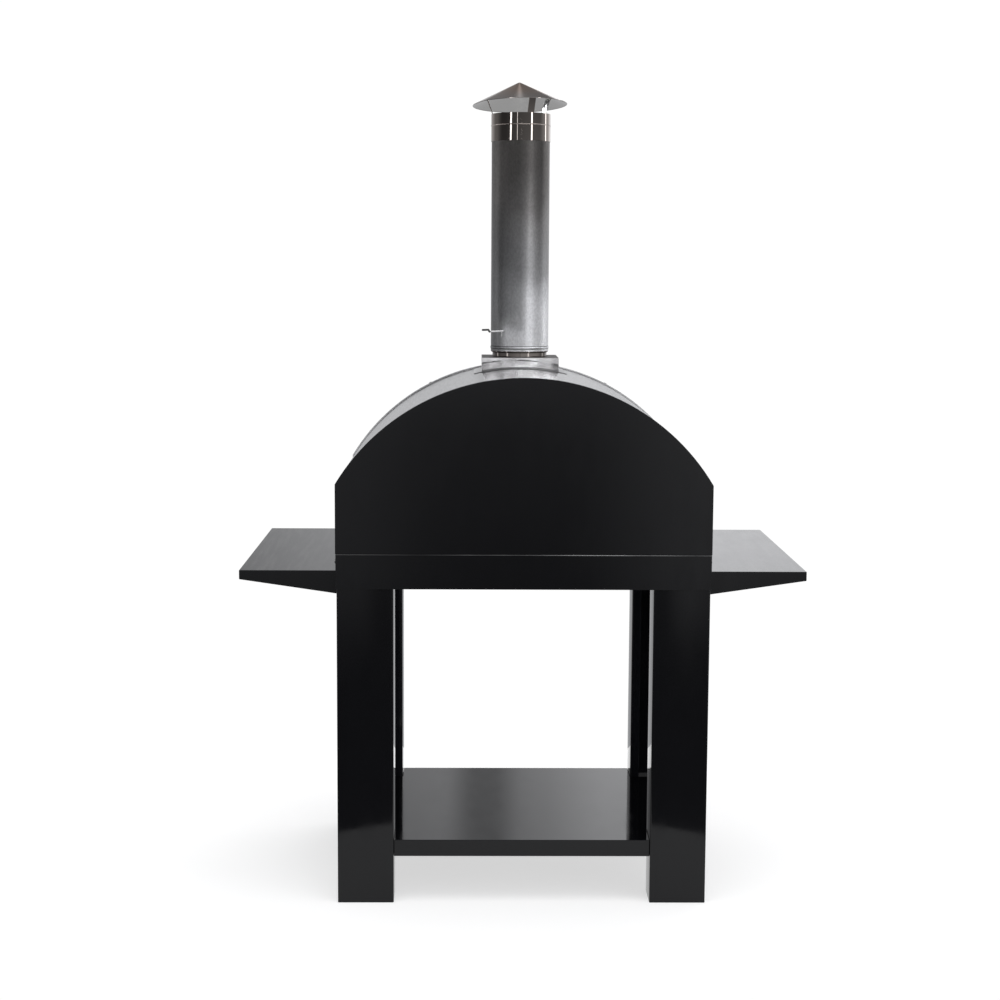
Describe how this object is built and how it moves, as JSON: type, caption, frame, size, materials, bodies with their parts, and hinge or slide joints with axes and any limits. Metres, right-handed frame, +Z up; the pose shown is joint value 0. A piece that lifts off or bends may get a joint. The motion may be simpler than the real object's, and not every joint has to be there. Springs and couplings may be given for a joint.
{
  "type": "wood fired pizza oven",
  "caption": "Arched wood fired pizza oven on a black sheet-metal stand, with two side shelves, a lower shelf, a hinged door and a tall capped flue with a damper.",
  "frame": {"origin": "on the floor, under the middle of the oven's bounding box", "axes": "+Z up, +Y towards the door, +X across the oven to the right of someone who faces its rear"},
  "size_m": [1.3868, 0.86, 2.0481],
  "materials": {
    "black_steel": "gloss",
    "satin_stainless": "satin",
    "flue_stainless": "satin",
    "polished_stainless": "polished",
    "dark_wire": "satin",
    "bright_wire": "polished",
    "chamber_steel": "matte",
    "fibre": "matte",
    "hearth_stone": "matte",
    "zinc_fasteners": "satin",
    "handle_grip": "satin",
    "dial_white": "matte",
    "needle_red": "satin",
    "gauge_glass": "gloss"
  },
  "bodies": {
    "oven": {"apron_front": "black_steel", "apron_left": "black_steel", "apron_rear": "black_steel", "apron_right": "black_steel", "base_tray": "black_steel", "cap_collar": "polished_stainless", "cap_cone": "polished_stainless", "cap_strap_1": "polished_stainless", "cap_strap_2": "polished_stainless", "cap_strap_3": "polished_stainless", "dome_shell": "satin_stainless", "floor_board": "fibre", "flue_box": "polished_stainless", "flue_pipe": "flue_stainless", "flue_spigot": "polished_stainless", "front_panel": "black_steel", "front_trim": "satin_stainless", "hearth_stone_1": "hearth_stone", "hearth_stone_2": "hearth_stone", "hearth_stone_3": "hearth_stone", "hearth_stone_4": "hearth_stone", "hinge_lower_leaf": "polished_stainless", "hinge_pins": "polished_stainless", "hinge_upper_leaf": "polished_stainless", "insulation_arch": "fibre", "insulation_front": "fibre", "insulation_rear": "fibre", "leg_bolts": "zinc_fasteners", "leg_front_left": "black_steel", "leg_front_right": "black_steel", "leg_rear_left": "black_steel", "leg_rear_right": "black_steel", "lower_shelf": "black_steel", "mouth_frame": "satin_stainless", "mouth_sill": "satin_stainless", "rear_panel": "black_steel", "shelf_bolts": "zinc_fasteners", "side_shelf_left": "black_steel", "side_shelf_right": "black_steel", "trim_screws": "zinc_fasteners", "vault_arch": "chamber_steel", "vault_back": "chamber_steel", "vault_front": "chamber_steel"},
    "door": {"door_skin": "satin_stainless", "door_back": "satin_stainless", "door_core": "fibre", "handle_bar": "handle_grip", "handle_post_lower": "polished_stainless", "handle_post_upper": "polished_stainless", "hinge_lower_strap": "polished_stainless", "hinge_upper_strap": "polished_stainless", "thermometer_case": "polished_stainless", "thermometer_dial": "dial_white", "thermometer_glass": "gauge_glass"},
    "damper": {"damper_plate": "chamber_steel", "damper_spindle": "bright_wire", "damper_grip": "dark_wire", "damper_cotter": "dark_wire"},
    "needle": {"thermometer_needle": "needle_red"}
  },
  "joints": [
    {"name": "door_hinge", "type": "hinge", "parent": "oven", "child": "door", "pos_m": [-0.243, 0.345, 0.996], "axis": [0, 0, 1], "range_deg": [0, 105]},
    {"name": "damper_turn", "type": "hinge", "parent": "oven", "child": "damper", "pos_m": [0, 0.157, 1.3929], "axis": [-0.5878, -0.809, 0], "range_deg": [0, 90]},
    {"name": "needle_turn", "type": "hinge", "parent": "door", "child": "needle", "pos_m": [0, 0.3639, 1.06], "axis": [0, -1, 0], "range_deg": [0, 270], "stiffness_Nm_per_rad": 0.0005}
  ]
}
